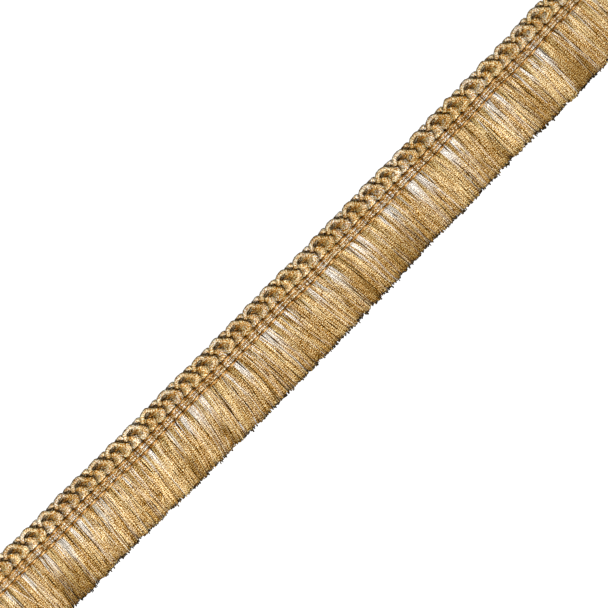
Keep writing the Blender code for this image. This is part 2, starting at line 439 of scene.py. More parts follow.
# Where the ivory yarns come out of the heading: mm from the trim's middle, how strongly, and how wide
ivoryPlaces = np.array((
    (-146, 0.6, 1.2), (-138, 0.7, 1.2), (-133, 0.4, 0.9), (-129.5, 0.44, 0.55), (-127.8, 0.92, 1.15),
    (-122, 0.22, 0.51), (-119.5, 0.98, 1.4), (-113.8, 0.72, 0.55), (-110.3, 1.0, 1.23),
    (-107.5, 0.9, 0.59), (-103.2, 0.62, 1.32), (-99, 0.6, 1.12), (-95.1, 0.36, 0.68),
    (-93, 0.4, 0.7), (-89.9, 0.66, 0.78), (-88.2, 0.42, 0.49), (-84, 0.6, 1.25),
    (-80.8, 0.3, 0.47), (-78.1, 0.8, 0.74), (-75, 0.94, 1.1), (-72.2, 0.82, 0.98),
    (-66.3, 0.24, 0.98), (-62.5, 0.54, 1.38), (-59.1, 0.76, 1.15), (-54.9, 0.86, 1.82),
    (-50.4, 0.56, 1.0), (-45.3, 0.26, 0.78), (-38, 0.62, 1.42), (-35.2, 0.34, 0.35),
    (-32.4, 0.96, 0.95), (-29.6, 0.34, 1.21), (-25.7, 0.5, 2.04), (-17.3, 0.7, 2.02),
    (-12, 0.76, 0.89), (-7, 0.78, 1.63), (-0.6, 0.36, 0.64), (5.5, 0.42, 0.87), (8, 0.56, 1.15),
    (14.1, 0.96, 1.95), (23.4, 0.24, 0.62), (27.3, 0.82, 1.78), (30.9, 0.84, 1.48),
    (40.5, 0.86, 0.78), (44.4, 1.0, 1.32), (47.6, 0.82, 0.83), (51.1, 0.36, 0.66),
    (56.7, 1.0, 1.89), (60.5, 1.0, 1.32), (73.1, 1.0, 1.61), (77.6, 0.74, 1.23),
    (95.2, 1.0, 1.95), (99, 0.92, 0.91), (109, 0.66, 0.83), (111.8, 0.5, 0.66),
    (116.3, 0.68, 1.29), (120.5, 1.0, 1.55), (123.3, 0.5, 0.66), (130, 0.6, 1.2), (138, 0.8, 1.3),
    (146, 0.5, 1.0),
))

# Where the lower half of the skirt is browner, or paler below 0
brownPlaces = np.array((
    (-144, 0.6), (-131, 1.4), (-128, 1.3), (-124.8, 1.0), (-121.8, 0.9), (-116.5, 0.35),
    (-102, -0.3), (-96, -0.3), (-91, -0.3), (-89.0, 0.35), (-86.5, -0.5), (-81, -0.5), (-76, -0.4),
    (-67.9, 1.0), (-60, -0.4), (-51.5, 1.0), (-43.1, 0.1), (-31, -0.4), (-23.6, 0.3), (-12.3, 0.1),
    (-6.3, 0.3), (-2.7, 0.1), (11.0, 0.5), (16.6, 0.35), (20.1, 1.0), (29, 0.4), (33.5, 0.8),
    (36, 0.6), (38.8, 1.0), (42, 0.7), (44.8, 0.9), (48, 0.4), (58.3, 0.25), (66.5, -0.2),
    (72.5, 0.35), (78.8, 0.45), (82.5, -0.2), (86.8, 0.9), (90, -0.5), (92.8, -0.5), (97, -0.5),
    (100, -0.4), (103.7, 0.75), (107, 0.2), (110.9, 0.3), (117.3, -0.6), (123, 0.8), (125.7, 0.9),
    (128.8, 0.9), (137, 0.5), (147, 0.4),
))


def strengthAt(places, along, reach):
    return places[:, 1] * bell(along[..., None] - trimLength / 2 - places[:, 0], reach)


def ivoryAt(along, wider):  # from 0 to 1
    return strengthAt(ivoryPlaces, along, ivoryPlaces[:, 2] + wider).max(-1)


# The skirt: cut threads in bunches, three to a stitch, in several layers
skirt = {
    "bunches": 3 * stitchCount,
    "threads": 17,
    "lining": 5,  # more threads for each bunch, which lie evenly below them all
    "liningThick": 1.35,
    "spread": 1.1,  # how wide a bunch's roots lie, over its share of the trim
    "thick": (0.44, 0.42),  # at the root and at the tip
    "places": (0, 0.08, 0.2, 0.35, 0.52, 0.7, 0.85, 0.93, 0.965, 1.0),  # share of the thread's length
    "rootAcross": -10.45,
    "tipsAcross": -32.11,
    "tipsBack": 0.2,  # the lowest threads are cut this much shorter, on the whole
    "topHeight": (2.2, 2.12, 1.15),  # at the root, half way down and at the tip
    "lowHeight": (0.3, 0.2, 0.2),
    # random leans, sideways over down, and the share of the threads that go astray
    "bunchLean": 0.014,
    "threadLean": 0.036,
    "strayLean": 0.08,
    "strays": 0.07,
    # how far aside they wave, and the fewest and most half waves in a length
    "threadWave": (0.21, 0.8, 3.6),
    "bunchWave": (0.17, 0.9, 2.0),
    # how much the roots are pinched together, least and most
    "stitchPinch": (0.02, 0.14),
    "bunchPinch": (0.0, 0.14),
    # the cut: waves of size, length and phase, then how far bunches and threads reach past it at random
    "ragged": ((0.06, 33.0, 0.9), (0.07, 9.7, 2.0), (0.1, 5.3, 0.3)),
    "clumps": ((0.6, 7.1, 0.4), (0.6, 4.3, 1.7), (0.5, 12.9, 2.9)),
    "bunchReach": 0.17,
    "threadReach": 0.29,
    "upperBack": (0.2, 0.65),  # the upper threads are this much shorter, and more so in the clumps
    # tone, from 0 dark gold to 1 light gold, and how it differs between threads and between wisps
    "tone": 0.31,
    "threadTone": 0.23,
    "wispTone": 0.15,
    "tonePatches": ((0.07, 27.0, 0.7), (0.08, 11.3, 2.2), (0.07, 6.1, 1.1)),
    # how much each lowers the tone, and how much painted shade it adds: a wisp's own waves, its lower part,
    # brown places, and lying under others. The lower part and lying under others are painted shade
    "swing": (0.15, 0.08),
    "low": (0.21, 0.13),
    "brown": (0.5, 0.38),
    "hidden": (0.16, 0.33),
    "looseIvory": 0.035,  # the share of ivory threads that lie anywhere
    "paleThreads": 0.14,  # the share of gold threads that are paler than others
    # mm from the middle, then the lean at the root and low down, sideways over down
    "lean": (
        (-150, 0.0, -0.05), (-119, -0.05, -0.1), (-105, -0.1, -0.12), (-98, -0.03, -0.12),
        (-84, -0.02, -0.07), (-77, -0.12, -0.12), (-66, -0.09, -0.22), (-56, -0.06, -0.3),
        (-42, -0.08, -0.28), (-35, 0.03, -0.17), (-28, 0.07, -0.04), (-21, 0.12, 0.04),
        (-14, 0.11, 0.06), (-7, 0.09, 0.17), (0, 0.06, 0.15), (7, 0.13, 0.06), (21, 0.15, 0.05),
        (35, 0.08, 0.05), (49, 0.08, 0.0), (56, 0.02, -0.04), (70, 0.07, -0.05), (77, 0.02, -0.03),
        (84, -0.12, -0.12), (91, 0.0, 0.03), (98, 0.04, 0.02), (105, 0.13, 0.1), (112, 0.04, -0.04),
        (119, 0.03, -0.1), (150, 0.05, 0.02),
    ),
    # mm from the middle, then how far the cut is from straight, shorter above 0
    "cutLine": (
        (-130, 0.22), (-85, 0.2), (-67, -0.05), (-53, -0.12), (-28, -0.26), (-11, -0.43), (4, -0.3),
        (18, 0.06), (32, 0.3), (46, 0.48), (60, 0.34), (77, 0.2), (92, 0.27), (106, 0.0), (120, -0.6),
        (134, -0.65),
    ),
    "seed": 11,
}


def placeThreads(rand):  # each thread's root, its bunch, its place in the bunch, and its layer from 0 to 1
    bunches, each = skirt["bunches"], skirt["threads"]
    bunchPitch = trimLength / bunches
    bunch = np.repeat(np.arange(bunches), each)
    count = len(bunch)
    layer = (rand.rand(bunches, each).argsort(1).reshape(-1) + rand.rand(count)) / each
    slot = (rand.rand(bunches, each).argsort(1).reshape(-1) + rand.rand(count)) / each
    offset = (slot - 0.5) * skirt["spread"] * bunchPitch
    root = (bunch + 0.5) * bunchPitch + offset
    lining = skirt["lining"] * bunches
    under = (np.arange(lining) + rand.rand(lining)) / lining * trimLength
    underBunch = np.clip((under / bunchPitch).astype(int), 0, bunches - 1)
    return (
        np.concatenate([root, under]),
        np.concatenate([bunch, underBunch]),
        np.concatenate([offset, np.zeros(lining)]),
        np.concatenate([0.12 + 0.88 * layer, 0.14 * rand.rand(lining)]),
    )


def leanAt(root):  # the table's leans at the roots and low down, smoothed over a few millimetres
    table = np.array(skirt["lean"])
    fine = np.linspace(-160, 160, 641)
    smooth = np.exp(-0.5 * (np.arange(-60, 61) * 0.5 / 4.0) ** 2)
    smooth /= smooth.sum()
    leans = []
    for column in (1, 2):
        values = np.interp(fine, table[:, 0], table[:, column])
        padded = np.concatenate([np.full(60, values[0]), values, np.full(60, values[-1])])
        leans.append(np.interp(root - trimLength / 2, fine, np.convolve(padded, smooth, "valid")))
    return leans


def waveAside(rand, count, t, size, fewest, most):
    size = rand.normal(0, size, count)[:, None]
    return size * np.sin(np.pi * t * rand.uniform(fewest, most, count)[:, None])


def leanThreads(rand, root, bunch, t):  # how far aside each thread runs, and the lean at its root
    bunches, count = skirt["bunches"], len(root)
    leanRoot, leanLow = leanAt(root)
    slopes = leanRoot[:, None] + (leanLow - leanRoot)[:, None] * np.clip((t - 0.15) / 0.6, 0, 1.1)
    slopes = slopes + rand.normal(0, skirt["bunchLean"], bunches)[bunch][:, None]
    slopes = slopes + rand.normal(0, skirt["threadLean"], count)[:, None]
    stray = rand.rand(count) < skirt["strays"]
    slopes = slopes + (stray * rand.normal(0, skirt["strayLean"], count))[:, None]
    length = skirt["rootAcross"] - skirt["tipsAcross"]
    moved = (slopes[:, 1:] + slopes[:, :-1]) / 2 * np.diff(t) * length
    sideways = np.concatenate([np.zeros((count, 1)), np.cumsum(moved, 1)], 1)
    sideways += waveAside(rand, count, t, *skirt["threadWave"])
    sideways += waveAside(rand, bunches, t, *skirt["bunchWave"])[bunch]
    return sideways, leanRoot


def pinchRoots(rand, root, bunch, offset, layer, t):  # in stitches of three, so dark gaps show there
    stitch = np.clip(np.round(root / stitchPitch), 0, stitchCount).astype(int)
    pinch = rand.uniform(*skirt["stitchPinch"], stitchCount + 1)[stitch] * easeStep(0.25, 0.5, layer)
    ownPinch = rand.uniform(*skirt["bunchPinch"], skirt["bunches"])[bunch] * easeStep(0.3, 0.6, layer)
    inward = -(root - stitch * stitchPitch) * pinch - offset * ownPinch
    return inward[:, None] * (1 - easeStep(0.03, 0.32, t))


def makeSkirt():
    rand = np.random.RandomState(skirt["seed"])
    bunches = skirt["bunches"]
    root, bunch, offset, layer = placeThreads(rand)
    count = len(root)
    isLining = np.arange(count) >= bunches * skirt["threads"]
    t = np.array(skirt["places"])[None, :]
    sideways, leanRoot = leanThreads(rand, root, bunch, t)
    sideways += pinchRoots(rand, root, bunch, offset, layer, t)
    along = root[:, None] + sideways

    # ivory threads run together in the upper layers and sink among the gold ones lower down
    strength = ivoryAt(root + 2.4 * leanRoot, 0.1)
    ivory = rand.rand(count) < strength**1.5 * 1.1 * easeStep(0.15, 0.5, layer)
    ivory = ivory | (rand.rand(count) < skirt["looseIvory"])
    layerRun = layer[:, None] + rand.normal(0, 0.2, count)[:, None] * t
    layerRun -= (ivory * rand.uniform(0.0, 0.55, count))[:, None] * easeStep(0.3, 1.0, t)
    layerRun = np.where(isLining[:, None], layer[:, None], np.clip(layerRun, 0.1, 1))

    # down to ragged tips: the upper threads are cut a little shorter, and are light up to their ends
    clump = easeStep(-1.1, 0.3, waves(skirt["clumps"], root))
    upper = easeStep(0.3, 0.5, layer)
    reach = waves(skirt["ragged"], root) + rand.normal(0, skirt["bunchReach"], bunches)[bunch]
    reach = reach + rand.normal(0, skirt["threadReach"], count)
    reach = reach + (skirt["upperBack"][0] + skirt["upperBack"][1] * clump) * upper
    cut = np.interp(along[:, -1] - trimLength / 2, *np.array(skirt["cutLine"]).T)
    tips = skirt["tipsAcross"] + skirt["tipsBack"] + reach + cut
    tips = tips / (1 + waves(trim["swell"], along[:, -1]))
    across = skirt["rootAcross"] + t * (tips - skirt["rootAcross"])[:, None]
    high = np.interp(t, (0, 0.5, 1), skirt["topHeight"]) + rand.normal(0, 0.07, bunches)[bunch][:, None]
    low = np.interp(t, (0, 0.5, 1), skirt["lowHeight"])
    height = low + np.interp(layerRun, (0, 0.6, 1), (0, 0.84, 1)) * (high - low)
    paths = np.stack([along, across, height], -1)

    # each half bunch is a wisp, and grows lighter and darker in turn along its way
    wisp = 2 * bunch + (offset > 0)
    tone = skirt["tone"] + rand.normal(0, skirt["threadTone"], count)
    tone = tone + rand.normal(0, skirt["wispTone"], 2 * bunches)[wisp] + waves(skirt["tonePatches"], root)
    wave = rand.uniform(1.2, 3.2, 2 * bunches)[wisp][:, None] * t
    wave = wave + rand.uniform(0, 1, 2 * bunches)[wisp][:, None]
    swing = np.sin(2 * np.pi * wave + rand.normal(0, 0.6, (count, 1)))
    brown = np.clip(strengthAt(brownPlaces, along, 1.6).sum(-1), -0.8, 1.5) * easeStep(0.22, 0.75, t)
    onTop = easeStep(0.1, 0.7, layerRun)
    # the lower part and the threads lying under others get painted shade, and brown places are darker
    tone = tone[:, None] + skirt["swing"][0] * swing - skirt["low"][0] * easeStep(0.4, 0.9, t)
    tone = tone - skirt["brown"][0] * brown - skirt["hidden"][0] * (1 - onTop)
    shade = (1 - skirt["hidden"][1] * (1 - onTop)) * (1.02 - skirt["brown"][1] * brown)
    shade = shade * (1 + skirt["swing"][1] * swing) * (1 - skirt["low"][1] * easeStep(0.5, 0.9, t))

    # painted shadow on the low threads' tips, on the roots, and on the left side of every stitch at its
    # root, and a little painted light on its right side
    tipDark = rand.uniform(0.93, 0.99, count) * (0.76 + 0.24 * clump) * (1 - upper)
    tipDark = tipDark + rand.uniform(0.1, 0.7, count) * upper
    shade = shade * (1 - tipDark[:, None] * easeStep(0.92, 0.97, t))
    shade = shade * (1 - 0.25 * (1 - easeStep(0.0, 0.06, t)))
    place = root / stitchPitch - 0.516
    darkest = np.where(np.floor(place) % 2 > 0.5, 0.15, 0.27)
    leftDark = 0.46 * bell(place % 1 - darkest, 0.19) - 0.12 * bell(place % 1 - 0.84, 0.14)
    shade = shade * (1 - leftDark[:, None] * (1 - easeStep(0.1, 0.48, t)))

    thick = np.interp(t, (0, 1), skirt["thick"]) * rand.uniform(0.88, 1.12, count)[:, None]
    thick = thick * np.where(isLining, skirt["liningThick"], 1.0)[:, None]
    fade = (1.6 * rand.rand(count) ** 0.45)[:, None] * easeStep(0.15, 0.62, t)
    ivory = np.clip((ivory * rand.uniform(0.8, 1.0, count))[:, None] * (1 - fade), 0, 1)
    # some gold threads are paler, and the painted shadow on the low threads' tips is greyish
    pale = (rand.rand(count) < skirt["paleThreads"] * (layer > 0.3)) * rand.uniform(0.1, 0.45, count)
    greyTip = 0.5 * (1 - upper)[:, None] * easeStep(0.9, 0.97, t)
    ivory = np.maximum(np.maximum(ivory, pale[:, None]), greyTip)
    tone = np.clip(tone, 0.02, 1)

    under = layer < 0.46
    for name, chosen in (("skirtUnderThreads", under), ("skirtUpperThreads", ~under)):
        twist = anyTwist(rand, chosen.sum(), 0.85, 1.2)
        looks = (tone[chosen], ivory[chosen], shade[chosen])
        threads = spinYarns(paths[chosen], thick[chosen], 4, *looks, **twist)
        makePiece(name, [threads], skirtRayon, "skirt_yarn", "skirt")


makeSkirt()
print("skirt made")

# The gimp cords, along the solids' own route: along, across, and the height of the cord's underside.
# The rear cord's arch is held a little up
gimp = {
    "frontRoute": (
        (2.78, -2.66, 2.07), (3.46, -1.38, 2.58), (5.15, -0.84, 2.4), (6.7, -0.93, 2.25),
        (7.75, -1.82, 2.35), (8.9, -3.2, 2.58), (9.85, -4.75, 2.58), (9.42, -6.12, 1.73),
        (8.28, -6.6, 0.95), (7.2, -6.34, 0.57), (7.23, -4.89, 0.0), (8.03, -3.81, 0.35),
        (9.78, -3.28, 1.16),
    ),
    "rearRoute": (
        (2.76, -2.7, 0.2), (3.35, -1.46, 0.7), (4.6, -1.06, 1.0), (6.3, -1.08, 0.95),
        (6.62, -2.2, 0.95), (8.0, -3.45, 1.35), (9.45, -4.82, 1.1), (9.36, -6.22, 0.3),
        (8.25, -6.88, 0.1), (7.08, -6.5, 0.08), (7.12, -4.9, 0.0), (7.98, -4.02, 0.0),
        (9.74, -3.56, 0.0),
    ),
    "middleHeight": 0.9 + 0.43,  # the band's thin part, and half of the cord
    "loose": (0.09, 0.07, 0.02),  # how far it strays from that route
    "perStep": 4,
    "strands": 11,
    "strandThick": 0.42,
    "wide": (0.6, 0.95),  # in the arches, and in the loops where the cord lies flat
    "high": 0.38,
    "turn": 4.8,
    "coreThick": 0.9,
    "neck": (2.23, -3.1),  # where the cord crosses itself, painted darker as shade
    "shadowShift": (0.5, 0.3, 0.0),  # the dark beside a cord that passes over another falls this way
    "outline": (0.45, 0.15),  # painted shade on the arches' outer side, on the front and the rear cord
    "filling": {
        "at": (8.5, -5.15),  # along a scallop, and across
        "height": (2.0, 1.5),  # in the front and the rear loops
        "yarns": 7,
        "pitch": 0.29,
        "thick": 0.38,
        "reach": 0.95,
        "slope": 0.72,
    },
    # tone and ivory of the strands round the cord
    "yarns": (
        (0.55, 0.2), (0.75, 0.9), (0.4, 0.0), (0.7, 0.5), (0.15, 0.0), (0.8, 1.0), (0.55, 0.2),
        (0.25, 0.0), (0.7, 0.7), (0.45, 0.0), (0.8, 0.5),
    ),
    # painted light and shade in every scallop: along, across, how far they reach each way, and how much,
    # shade below 0
    "paintedLights": (
        (7.1, -4.45, 0.95, 0.75, -1.0), (5.97, -6.6, 0.46, 0.62, -0.9),
        (9.6, -7.35, 1.2, 0.45, -1.3), (3.1, -5.25, 0.55, 0.9, -0.75),
        (3.9, -6.85, 0.9, 0.5, 0.65), (4.57, -5.24, 0.75, 0.6, 0.2),
        (9.98, -5.3, 0.5, 0.6, 0.45), (10.02, -1.95, 0.45, 0.8, 0.9),
        (4.85, -3.42, 0.5, 0.42, 0.95), (7.19, -3.5, 0.4, 0.35, -0.6),
        (6.6, -2.65, 0.55, 0.3, -0.75), (8.3, -2.1, 0.38, 0.5, -0.65),
        (2.83, -2.27, 0.42, 0.5, 0.1), (10.79, -1.3, 0.35, 0.5, -0.9),
        (5.79, -1.47, 0.9, 0.28, 0.3), (9.46, -0.8, 0.9, 0.35, 0.15),
        (2.35, -4.15, 0.5, 0.5, 1.2), (3.35, -3.5, 0.55, 0.45, -0.85),
        (5.6, -4.15, 0.35, 0.4, -0.6), (6.2, -4.25, 0.35, 0.45, 0.6),
        (2.7, -6.35, 0.45, 0.45, -0.55), (9.6, -4.4, 0.9, 0.7, -0.3),
        (6.85, -5.2, 0.35, 0.6, -0.3), (9.72, -2.8, 0.35, 0.6, 0.9),
        (10.6, -3.1, 0.35, 0.35, -0.4), (2.75, -7.5, 0.75, 0.3, 0.5),
    ),
}


def cordLine(routeName, shift, first, last, seed):
    table = gimp[routeName]
    rand = np.random.RandomState(seed)
    route = []
    for index in range(first, last + 1):
        scallop, entry = divmod(index, len(table))
        along, across, height = table[entry]
        place = (along + scallop * scallopPitch + shift, across, height + gimp["middleHeight"])
        route.append(place + rand.normal(0, 1, 3) * gimp["loose"])
    return smoothLine(route, gimp["perStep"])


entries = len(gimp["frontRoute"])
rearShift = -scallopPitch / 2
frontLine = cordLine("frontRoute", 0.0, -1, entries * (trim["scallops"] - 1) + 9, 19)
rearLine = cordLine("rearRoute", rearShift, 2, entries * trim["scallops"] + 1, 20)


def coverOver(points, reach):  # how far a cord that passes over it covers each point, from 0 to 1
    middle = scallopPitch * (trim["scallops"] // 2)  # every scallop is taken for the middle one
    lines = np.concatenate([frontLine, rearLine]) + gimp["shadowShift"]
    near = lines[np.abs(lines[:, 0] - middle) < 1.6 * scallopPitch]
    flat = points.reshape(-1, 3)
    along = middle + fromNearest(flat[:, 0], middle)
    away = (along[:, None] - near[:, 0]) ** 2 + (flat[:, 1, None] - near[:, 1]) ** 2
    over = easeStep(0.35, 0.8, near[:, 2] - flat[:, 2, None])
    return (np.exp(-away / reach**2) * over).max(1).reshape(points.shape[:-1])


def spotLight(points):
    light = np.zeros(points.shape[:-1])
    for along, across, reachAlong, reachAcross, power in gimp["paintedLights"]:
        aside = fromNearest(points[..., 0], along)
        light += power * bell(aside, reachAlong) * bell(points[..., 1] - across, reachAcross)
    return np.exp(np.clip(light, -1.8, 1.0))


def fillLoops(shift, height, rand):  # the cord's own slack strands close the middle of each loop
    fill = gimp["filling"]
    centres = np.arange(-1, trim["scallops"] + 1) * scallopPitch + fill["at"][0] + shift
    centres = centres[(centres > 0.9) & (centres < trimLength - 0.9)]
    offset = (np.arange(fill["yarns"]) - (fill["yarns"] - 1) / 2) * fill["pitch"]
    halfLong = np.sqrt(fill["reach"] ** 2 - offset**2 * 0.95)
    forward = np.array((1.0, fill["slope"])) / math.hypot(1.0, fill["slope"])
    aside = np.array((-forward[1], forward[0]))
    s = np.linspace(-1, 1, 6)
    shape = offset[:, None, None] * aside + (s[None, :] * halfLong[:, None])[..., None] * forward
    count = len(centres) * fill["yarns"]
    middles = np.stack([centres, np.full(len(centres), fill["at"][1])], -1)
    paths = np.zeros((len(centres), fill["yarns"], 6, 3))
    paths[..., :2] = shape[None] + middles[:, None, None]
    paths = paths.reshape(count, 6, 3)
    paths[..., 0] += rand.normal(0, 0.06, (count, 1))
    paths[..., 1] += 0.1 * np.sin(2.2 * s + rand.uniform(0, 6.3, (count, 1)))
    paths[..., 2] = height + 0.22 * (1 - s**2) + rand.normal(0, 0.06, (count, 1))
    tone = np.clip(0.56 + rand.normal(0, 0.16, count), 0.1, 1)
    ivory = rand.rand(count) < 0.08 + 0.8 * ivoryAt(paths[:, 0, 0], 1.0) ** 1.5
    ivory = ivory * rand.uniform(0.5, 1.0, count)
    gold = bell(paths[..., 1] + 3.5, 1.0)
    tone = tone[:, None] - 0.35 * gold
    ivory = ivory[:, None] * (1 - gold)
    # painted shade, darker towards both ends, with the scallop's painted light and shade
    shade = (0.8 - 0.25 * np.abs(s) ** 3) * (1 + 0.2 * gold) * spotLight(paths)
    start, pace = rand.uniform(0, 40, (count, 1)), rand.uniform(0.8, 1.25, (count, 1))
    return spinYarns(paths, fill["thick"], 4, tone, ivory, shade, start, pace)


def makeGimpCord(name, node, line, shift, fillHeight, outline, seed):
    rand = np.random.RandomState(seed)
    ahead = np.gradient(line, axis=0)
    ahead /= np.linalg.norm(ahead, axis=1, keepdims=True)
    beside = np.cross(ahead, (0, 0, 1.0))
    beside /= np.linalg.norm(beside, axis=1, keepdims=True)
    above = np.cross(beside, ahead)
    run = np.concatenate([[0], np.cumsum(np.linalg.norm(np.diff(line, axis=0), axis=1))])

    # the strands twist round the line, tighter and slacker by turns
    strands = gimp["strands"]
    slack = np.cumsum(rand.normal(0, 0.05, len(line)))
    slack -= np.linspace(0, slack[-1], len(line))
    angle = 2 * np.pi * run / gimp["turn"] + 0.25 * slack
    angle = angle + (np.arange(strands) / strands * 2 * np.pi)[:, None]
    loose = 1 + 0.1 * np.sin(run / 2.3 + rand.uniform(0, 6.3, (strands, 1)))
    inLoop = easeStep(3.2, 5.2, -line[:, 1])
    wide = gimp["wide"][0] + (gimp["wide"][1] - gimp["wide"][0]) * inLoop
    aside = (np.cos(angle) * wide * loose)[..., None] * beside
    paths = line + aside + (np.sin(angle) * gimp["high"] * loose)[..., None] * above

    # tone and ivory: of the strand, of the scallop and of the place along the trim
    tone, ivory = np.array(gimp["yarns"]).T[:, :, None]
    tone = tone + 0.16 * np.sin(run / 13.0 + rand.uniform(0, 6.3, (strands, 1)))
    starts = np.arange(trim["scallops"] + 2) * scallopPitch
    own = np.interp(line[:, 0], starts, rand.normal(0, 1, len(starts)))  # no two scallops are alike
    own = own + waves(((0.6, 43.0, seed), (0.5, 19.0, 2 * seed)), line[:, 0])
    tone = tone + 0.11 * own
    ivory = ivory * np.clip(0.04 + 1.4 * ivoryAt(line[:, 0], 0.9) ** 1.5, 0, 1.3)

    # painted shade and shadow: the sides and the underside of the cord lie in its own shadow, and in that
    # of what passes over it
    lit = 0.35 + 0.65 * easeStep(0.0, 0.85, np.sin(angle))
    lit = lit + (1 - lit) * 0.55 * inLoop
    lit = lit * (1 - outline * easeStep(0.35, 0.85, -np.cos(angle)) * (1 - inLoop))
    cover = coverOver(paths, 0.95)
    # painted shade where the cord crosses itself
    neck = bell(fromNearest(line[:, 0], shift + gimp["neck"][0]), 0.8)
    neck = neck * bell(line[:, 1] - gimp["neck"][1], 0.8)
    gold = bell(line[:, 1] + 3.65, 1.1)  # no ivory between the arches and the loops
    arch = 1 - easeStep(1.6, 2.6, -line[:, 1])
    tone = np.clip(tone + 0.06 * arch - 0.24 * cover - 0.24 * neck - 0.35 * gold, 0, 1)
    ivory = np.clip(ivory * (1 - 0.9 * gold) + 0.1 * arch, 0, 1)
    shade = lit * (1 - 0.3 * cover) * (1 - 0.2 * neck) * (1 + 0.15 * gold) * (1 + 0.06 * own)
    shade = shade * spotLight(paths)

    yarns = spinYarns(paths, gimp["strandThick"], 4, tone, ivory, shade, **anyTwist(rand, strands))
    # a darker core inside the strands, with painted shade
    coreThick = gimp["coreThick"] * (wide / wide.min())[None, ::2]
    core = spinYarns(line[None, ::2], coreThick, 6, 0.2, 0.0, 0.65, flat=0.6)
    makePiece(name, [yarns, core, fillLoops(shift, fillHeight, rand)], gimpRayon, "cord_yarn", node)


(frontOutline, rearOutline), (frontFill, rearFill) = gimp["outline"], gimp["filling"]["height"]
makeGimpCord("frontGimpCord", "gimp_cord_front", frontLine, 0.0, frontFill, frontOutline, 21)
makeGimpCord("rearGimpCord", "gimp_cord_rear", rearLine, rearShift, rearFill, rearOutline, 22)
print("gimp cords made")

# The woven band: a block of yarns to each stitch, over a thin ground that reaches up under the loops
band = {
    "layers": ((9, 0.0, 1.05), (8, 0.38, 0.5)),  # yarns to a block, how far down they lie, and their shade
    "thick": 0.43,
    "blockWide": 3.92,
    # across, and the height of the top yarns at the block's middle
    "profile": (
        (-7.0, 1.2), (-7.9, 1.75), (-8.35, 2.25), (-8.72, 2.36), (-9.1, 2.06), (-9.5, 2.34),
        (-9.9, 2.28), (-10.35, 1.85), (-10.75, 1.55),
    ),
    "groundPitch": 0.43,
    "groundThick": 0.54,
    # across, height, tone and painted shade, which above 1 is painted light
    "ground": (
        (-1.25, 0.34, 0.36, 1.0), (-2.6, 0.84, 0.36, 1.0), (-4.2, 0.89, 0.6, 1.5),
        (-5.8, 0.39, 0.5, 1.3), (-7.4, 0.44, 0.5, 1.2), (-9.2, 0.34, 0.5, 1.2),
        (-11.4, 0.34, 0.5, 1.2),
    ),
    # where it comes up between the loops: mm along a scallop, how wide and how high
    "groundRises": ((2.35, 0.55, 0.95), (6.15, 0.45, 0.75)),
    "lengthwise": (-1.6, -2.3, -3.0, -4.6, -6.2, -8.0, -9.5, -10.6),  # where the ground's long yarns lie
    "seed": 31,
}


def weaveBlocks(rand, each, drop, shade):
    profile = np.array(band["profile"])
    s = np.linspace(-1, 1, len(profile))
    block = np.repeat(np.arange(stitchCount + 1), each)
    place = np.tile((np.arange(each) + 0.5) / each - 0.5, stitchCount + 1)
    inside = (block + place > 0.05) & (block + place < stitchCount - 0.05)  # half a block at each end
    block, place = block[inside], place[inside]
    count = len(block)
    place = place + rand.normal(0, 0.012, count)
    root = block * stitchPitch + place * band["blockWide"]
    sag = (0.55 * np.abs(2 * place) ** 3)[:, None] * easeStep(0, 0.3, 1 - np.abs(s))
    height = profile[:, 1] - drop - sag + rand.normal(0, 0.05, (count, 1))
    swell = 1 + 0.06 * np.sin(np.pi * (s + 1)) ** 2
    along = (block * stitchPitch)[:, None] + (place * band["blockWide"])[:, None] * swell
    along = along + rand.normal(0, 0.05, (count, 1)) * s
    paths = np.stack([along, np.broadcast_to(profile[:, 0], along.shape), height], -1)
    tone = 0.5 + rand.normal(0, 0.13, stitchCount + 1)[block]
    tone = tone + waves(((0.06, 41.0, 0.3), (0.05, 23.0, 1.0)), root)
    tone = np.clip(tone + rand.normal(0, 0.2, count), 0.02, 1)
    ivory = rand.rand(count) < 0.09 + 0.8 * ivoryAt(root, 0.3) ** 1.5
    ivory = ivory * rand.uniform(0.5, 1.0, count)
    # painted shade at each block's sides, by the gaps
    shade = shade * (1 - 0.35 * np.abs(2 * place) ** 4)
    return spinYarns(paths, band["thick"], 4, tone, ivory, shade, **anyTwist(rand, count))


def weaveGround(rand):  # yarns side by side, and a few along them
    across, high, tone, shade = np.array(band["ground"]).T
    count = int(trimLength / band["groundPitch"])
    root = (np.arange(count) + 0.5) * trimLength / count
    height = high + 0.07 * np.cos(np.pi * (np.arange(count)[:, None] + np.arange(len(high))))
    for at, reach, rise in band["groundRises"]:
        height[:, 2] += rise * bell(fromNearest(root, at), reach)
    along = root[:, None] + rand.normal(0, 0.03, height.shape)
    paths = np.stack([along, np.broadcast_to(across, along.shape), height], -1)
    tone = np.clip(tone + rand.normal(0, 0.12, (count, 1)), 0.02, 0.9)
    shade = np.broadcast_to(shade, tone.shape)
    start = rand.uniform(0, 40, (count, 1))
    short = spinYarns(paths, band["groundThick"], 4, tone, 0.0, shade, start=start)
    across = np.array(band["lengthwise"])[:, None]
    along = np.broadcast_to(np.linspace(0.1, trimLength - 0.1, 300), (len(across), 300))
    height = 0.28 + 0.05 * np.sin(along * 3.3 + across)
    paths = np.stack([along, np.broadcast_to(across, along.shape), height], -1)
    return [short, spinYarns(paths, 0.4, 4, 0.5, 0.0, 1.0)]


weaver = np.random.RandomState(band["seed"])
blocks = [weaveBlocks(weaver, *layer) for layer in band["layers"]]
makePiece("bandYarns", blocks, bandRayon, "band_yarn", "woven_band")
makePiece("bandGround", weaveGround(weaver), bandRayon, "band_yarn", "woven_band")
print("band made")

